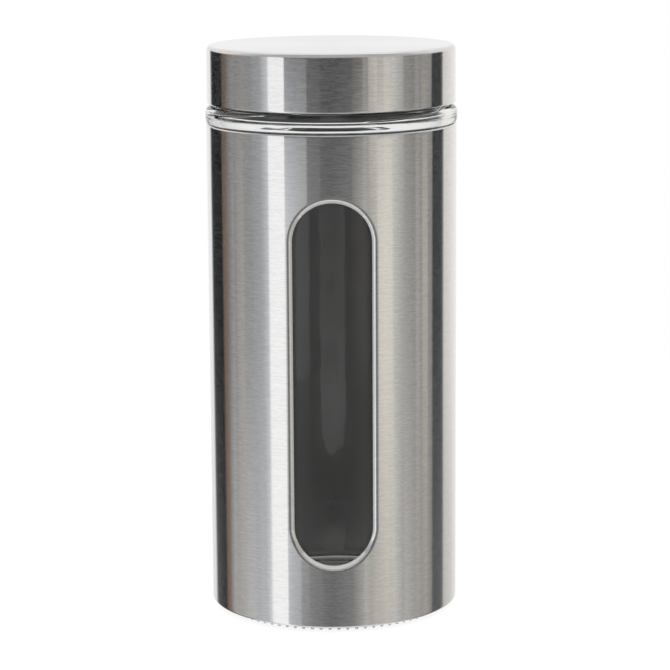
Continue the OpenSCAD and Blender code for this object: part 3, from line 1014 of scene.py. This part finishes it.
steel, tree, shader, brush = brushed_finish(
    "brushed_steel", lines=BRUSH_LINES, streak=BRUSH_STREAK, rough=(0.132, 0.138), marked=0.015,
    colours=((0.7, 0.7, 0.695), (0.768, 0.768, 0.763)), spin=1.0, lift=0.1)
fill(tree, shader, {"Metallic": spread(tree, brush["Tone"], 1.0, 0.955)})
# The satin kind has lighter colours than the sides' steel: painted light that brightens the lid's
# top.
satin_painted_light, *_ = brushed_finish(
    "satin_steel_painted_light", lines=2200.0, streak=12.0, rough=(0.12, 0.16), marked=0.03,
    colours=((0.79, 0.79, 0.785), (0.82, 0.82, 0.815)), spin=0.4, lift=0.03)
print("brushed finishes:", steel.name, satin_painted_light.name)

# %% [markdown]
# ## Steel as it comes from the mill
#
# Inside, the sheet isn't brushed. It is as it came from the rolling mill, grey and dull, and only
# partly a mirror. Faces that look towards the middle of a piece get this finish. Faces of the cap
# that look up get the satin one, which mirrors more softly than the sides. It is also a little
# lighter, and that is painted light: it makes the top read brighter than the sides.

# %% Rolled steel, and the faces that get each finish
SATIN_PAINTED_LIGHT_FROM = 0.8
rolled, tree, shader = open_material("rolled_steel")
marks = place_group(tree, handling, {"Patches": 60.0, "Spread": 0.3})
fill(tree, shader, {
    "Base Color": tint(tree, marks["Mask"], (0.86, 0.845, 0.82), (0.76, 0.745, 0.72)),
    "Metallic": 0.4,
    "Roughness": spread(tree, marks["Mask"], 0.42, 0.5),
})

wear(window_sleeve, steel, rolled)
wear(steel_cap, steel, rolled, satin_painted_light)
for piece in (window_sleeve, steel_cap):
    low, high = piece.bound_box[0], piece.bound_box[6]
    hub = Vector([(a + b) / 2 for a, b in zip(low, high)])
    for face in piece.data.polygons:
        face.material_index = int(face.normal.dot(face.center - hub) < 0)
# Faces that look up get the satin steel, whose lighter tone is painted light on the lid's top.
for face in steel_cap.data.polygons:
    if face.material_index == 0 and face.normal.z > SATIN_PAINTED_LIGHT_FROM:
        face.material_index = 2
print("satin faces:", sum(face.material_index == 2 for face in steel_cap.data.polygons))

# %% [markdown]
# ## Clear glass
#
# The jar is clear pressed glass. Its faces are never quite true, so a slow, very shallow bump makes
# lines seen through it or mirrored in it waver. Each pass through a face takes a trace of light,
# a little more red than green, which is what makes thick glass look faintly green.

# %% Clear glass
glass, tree, shader = open_material("clear_glass")
marks = place_group(tree, handling, {"Patches": 26.0, "Spread": 0.3})
fill(tree, shader, {
    "Base Color": tint(tree, marks["Mask"], (0.982, 0.99, 0.987), (0.972, 0.98, 0.977)),
    "Roughness": spread(tree, marks["Mask"], 0.0, 0.035),
    "Transmission Weight": 1.0,
    "IOR": 1.5,
    "Normal": emboss(tree, object_noise(tree, 75.0, 1.0), 0.6, 0.0002),
})
wear(pressed_glass, glass)
print("glass refracts by", shader.inputs["IOR"].default_value)

# %% [markdown]
# ## Plastic and silicone
#
# The liner is moulded in pale plastic with a fine spark-eroded texture, and the seal is soft
# silicone, a shade warmer and a little translucent. Both are mostly hidden and still get their
# own grain, so that they hold up when the lid is off.

# %% Moulded plastic and silicone
def grained_finish(name, grain, patches, colours, rough, lift):
    """A moulded material with a fine grain. Returns it with its shader."""
    material, tree, shader = open_material(name)
    fac = object_noise(tree, *grain)
    marks = place_group(tree, handling, {"Patches": patches[0], "Spread": patches[1]})
    fill(tree, shader, {
        "Base Color": tint(tree, marks["Mask"], *colours),
        "Roughness": spread(tree, fac, *rough),
        "Normal": emboss(tree, fac, *lift),
    })
    return material, shader


plastic, _ = grained_finish(
    "liner_plastic", grain=(2600.0, 2.0), patches=(40.0, 0.25),
    colours=((0.86, 0.86, 0.84), (0.8, 0.8, 0.775)), rough=(0.38, 0.56), lift=(0.3, 0.00002))
rubber, shader = grained_finish(
    "seal_rubber", grain=(1200.0, 3.0), patches=(60.0, 0.2),
    colours=((0.8, 0.81, 0.79), (0.74, 0.745, 0.72)), rough=(0.42, 0.62), lift=(0.2, 0.00004))
shader.inputs["Subsurface Weight"].default_value = 0.15
shader.inputs["Subsurface Scale"].default_value = 0.001
wear(moulded_liner, plastic)
wear(soft_seal, rubber)
print("moulded finishes:", plastic.name, rubber.name)

# %% [markdown]
# ## The studio: what the steel mirrors
#
# A shiny can has hardly any look of its own: what shows is the room. Photographers stand white
# panels and black flags round it. Light from the world is plain white from everywhere, so that
# dull colours come out as they were written. The panels are hidden from the camera and from dull
# surfaces. They stand about as far from the can as the camera does, and at that distance a panel's
# edge shows on the can at half of its own angle. The sleeve mirrors their lower parts and the lid
# a strip above those, so a panel can be lighter or darker at its foot and its top than in between.
# Higher up all of them fade to an even ceiling, which the flat top of the lid mirrors. One
# material serves all panels: it gives off the colour that each mesh stores at its points.

# %% The ring of panels
PANEL_RING = 1.2
PANEL_STEP = 2
PANEL_HEIGHTS = (-1.5, -0.3, -0.06, 0.06, 0.16, 0.31, 0.42, 2.0)
COOL = (0.975, 0.992, 1.03)
PLAIN = (1.0, 1.0, 1.0)
WARM = (1.035, 1.0, 0.955)
AMBER = (1.06, 1.0, 0.92)
WOOD = (1.32, 0.95, 0.74)

# Each panel starts where the last one ends, and the first starts right behind the can. Given are
# its name, the angle of its end (0 is in front of the can, positive to the right), its brightness
# at both ends, its tint, and the share of that brightness at its top and at its foot.
PANELS = (
    ("left_backdrop", -145.6, 0.96, 0.97, PLAIN, 1.0, 0.92),
    ("left_rim", -142, 0.45, 0.15, PLAIN, 1.2, 1.1),
    ("left_flag", -119, 0.028, 0.008, COOL, 0.3, 4.0),
    ("left_frame", -110.5, 0.12, 0.19, WOOD, 0.6, 1.2),
    ("left_edge", -103, 0.19, 0.32, PLAIN, 0.85, 1.7),
    ("left_shelf", -99, 0.345, 0.335, WARM, 0.75, 1.35),
    ("left_gap", -97, 0.29, 0.29, PLAIN, 0.95, 1.6),
    ("left_wall", -87, 0.37, 0.42, WARM, 0.6, 1.3),
    ("left_recess", -76, 0.325, 0.33, PLAIN, 0.9, 1.85),
    ("left_screen", -66, 0.37, 0.43, COOL, 0.9, 1.5),
    ("lamp_halo", -58.6, 0.44, 0.7, COOL, 1.1, 1.25),
    ("strip_lamp", -42.6, 1.19, 1.19, PLAIN, 1.0, 1.0),
    ("lamp_shade", -30, 0.95, 0.76, COOL, 0.0, 0.62),
    ("lamp_shade_edge", -22, 0.75, 0.66, PLAIN, 0.05, 0.4),
    ("camera_side_left", -10, 0.33, 0.27, PLAIN, 0.02, 0.8),
    ("camera", 0, 0.21, 0.18, PLAIN, 0.02, 0.95),
    ("camera_side_right", 18, 0.19, 0.27, PLAIN, 0.0, 0.92),
    ("right_rise", 28, 0.33, 0.56, WARM, 0.0, 0.8),
    ("right_turn", 33, 0.56, 0.52, WARM, 0.35, 0.95),
    ("right_glow", 41, 0.46, 0.6, AMBER, 1.1, 1.0),
    ("warm_edge", 48, 0.85, 0.93, AMBER, 0.42, 0.62),
    ("warm_reflector", 56, 0.92, 0.86, AMBER, 0.6, 0.68),
    ("right_fall", 68, 0.68, 0.43, WARM, 1.0, 1.0),
    ("right_wall", 81, 0.43, 0.33, WARM, 0.6, 1.3),
    ("right_batten", 86.5, 0.45, 0.43, WARM, 0.6, 1.0),
    ("right_gap", 89, 0.34, 0.34, WARM, 0.7, 1.15),
    ("right_post", 96.5, 0.49, 0.53, AMBER, 0.5, 0.8),
    ("right_shade", 103.3, 0.34, 0.28, WARM, 1.0, 1.1),
    ("right_flag", 119.5, 0.045, 0.055, COOL, 0.3, 2.6),
    ("right_edge", 122.6, 0.14, 0.3, PLAIN, 0.8, 0.8),
    ("right_reflector", 148, 0.76, 0.94, WARM, 1.0, 0.82),
    ("right_backdrop", 180, 0.94, 0.96, PLAIN, 1.0, 0.9),
)
print("panels:", len(PANELS))


# %% Sheets that glow
def open_glow(name):
    """An empty material for something that gives off light of its own."""
    material = bpy.data.materials.new(name)
    material.use_nodes = True
    material.cycles.emission_sampling = "NONE"
    material.node_tree.nodes.clear()
    return material, material.node_tree


def glow_sheet(name, columns, colour):
    """A sheet that only mirrors and glass see, from columns of points with their brightness."""
    rows = len(columns[0])
    points = [point for column in columns for point, _ in column]
    colours = [[bright * c for c in colour] + [1] for column in columns for _, bright in column]
    faces = [
        (i * rows + k, (i + 1) * rows + k, (i + 1) * rows + k + 1, i * rows + k + 1)
        for i in range(len(columns) - 1) for k in range(rows - 1)
    ]
    mesh = bpy.data.meshes.new(name)
    mesh.from_pydata(points, [], faces)
    stored = mesh.attributes.new("glow", "FLOAT_COLOR", "POINT")
    stored.data.foreach_set("color", [c for one in colours for c in one])
    mesh.materials.append(glow)
    made = put_in_scene(name, mesh)
    made.visible_camera = False
    made.visible_diffuse = False
    made.visible_shadow = False


glow, tree = open_glow("panel_glow")
stored = add(tree, "ShaderNodeAttribute", attribute_name="glow")
light = add(tree, "ShaderNodeEmission", {"Color": stored.outputs["Color"]})
add(tree, "ShaderNodeOutputMaterial", {"Surface": light.outputs[0]})
print("nodes in the panels' material:", len(tree.nodes))

# %% Build the panels and the canopy
CEILING_FRONT = 0.5
CEILING_BACK = 0.9
BACK_FROM = 70
BACK_SPAN = 50
CANOPY_SHARES = (0, 5 / 7, 6 / 7, 1)


def ceiling_glow(turn):
    """Brightness of the ceiling, which is higher behind the can than in front."""
    back = smooth_step((abs(turn) - BACK_FROM) / BACK_SPAN)
    return CEILING_FRONT + (CEILING_BACK - CEILING_FRONT) * back


def panel(name, start, end, bright_start, bright_end, colour, top, foot):
    """A curved upright panel whose brightness changes evenly from one edge to the other."""
    count = max(1, round((end - start) / PANEL_STEP))
    columns = []
    for i in range(count + 1):
        share = i / count
        turn = start + (end - start) * share
        bright = bright_start + (bright_end - bright_start) * share
        parts = [bright * part for part in (foot, foot, 1, 1, top, top)] + [ceiling_glow(turn)] * 2
        columns.append([(around(PANEL_RING, turn, z), part)
                        for z, part in zip(PANEL_HEIGHTS, parts)])
    glow_sheet(name, columns, colour)


def canopy():
    """A half disc that closes the front of the ring at its top."""
    columns = []
    for turn in range(-90, 91, PANEL_STEP):
        places = [around(PANEL_RING * share, turn, PANEL_HEIGHTS[-1]) for share in CANOPY_SHARES]
        columns.append(list(zip(places, [CEILING_FRONT] * 2 + [ceiling_glow(turn)] * 2)))
    glow_sheet("canopy", columns, PLAIN)


start = -180
for name, end, *look in PANELS:
    panel(name, start, end, *look)
    start = end
canopy()
print("brightness of the ceiling in front and behind:", ceiling_glow(0), ceiling_glow(180))

# %% [markdown]
# ## The studio: table and background
#
# The can stands on a pale table in front of white. The world is white at strength 1, which a
# camera records as pure white. The table adds its own light for the camera, so that it reads as
# white too, and a share of plain diffuse keeps the soft shadow where the can stands.

# %% World and table
TABLE_R = 0.6
TABLE_COLUMNS = 96
TABLE_Z = -0.00002
TABLE_OWN_LIGHT = 0.9
TABLE_IN_GLASS = 0.12
TABLE_SHADE = 0.18

world = bpy.data.worlds.new("white_room")
world.use_nodes = True
world.cycles.sampling_method = "NONE"
background = world.node_tree.nodes["Background"]
fill(world.node_tree, background, {"Color": (1, 1, 1, 1), "Strength": 1.0})
bpy.context.scene.world = world

table_look, tree = open_glow("pale_table")
ray = add(tree, "ShaderNodeLightPath")
seen = calc(tree, "MULTIPLY", ray.outputs["Is Camera Ray"], TABLE_OWN_LIGHT)
passed = calc(tree, "MULTIPLY_ADD", ray.outputs["Is Transmission Ray"], TABLE_IN_GLASS, seen)
own = add(tree, "ShaderNodeEmission", {"Strength": passed})
dull = add(tree, "ShaderNodeBsdfDiffuse", {"Color": (TABLE_SHADE, TABLE_SHADE, TABLE_SHADE, 1)})
joined = add(tree, "ShaderNodeAddShader", {0: own.outputs[0], 1: dull.outputs[0]})
add(tree, "ShaderNodeOutputMaterial", {"Surface": joined.outputs[0]})

mesh = bpy.data.meshes.new("table_top")
rim = [around(TABLE_R, turn, TABLE_Z) for turn in even_turns(TABLE_COLUMNS)]
mesh.from_pydata(rim, [], [tuple(range(len(rim)))])
mesh.materials.append(table_look)
table = put_in_scene("table_top", mesh)
table.visible_glossy = False
bpy.context.scene.view_settings.view_transform = "Standard"
print("table across in metres:", 2 * TABLE_R)
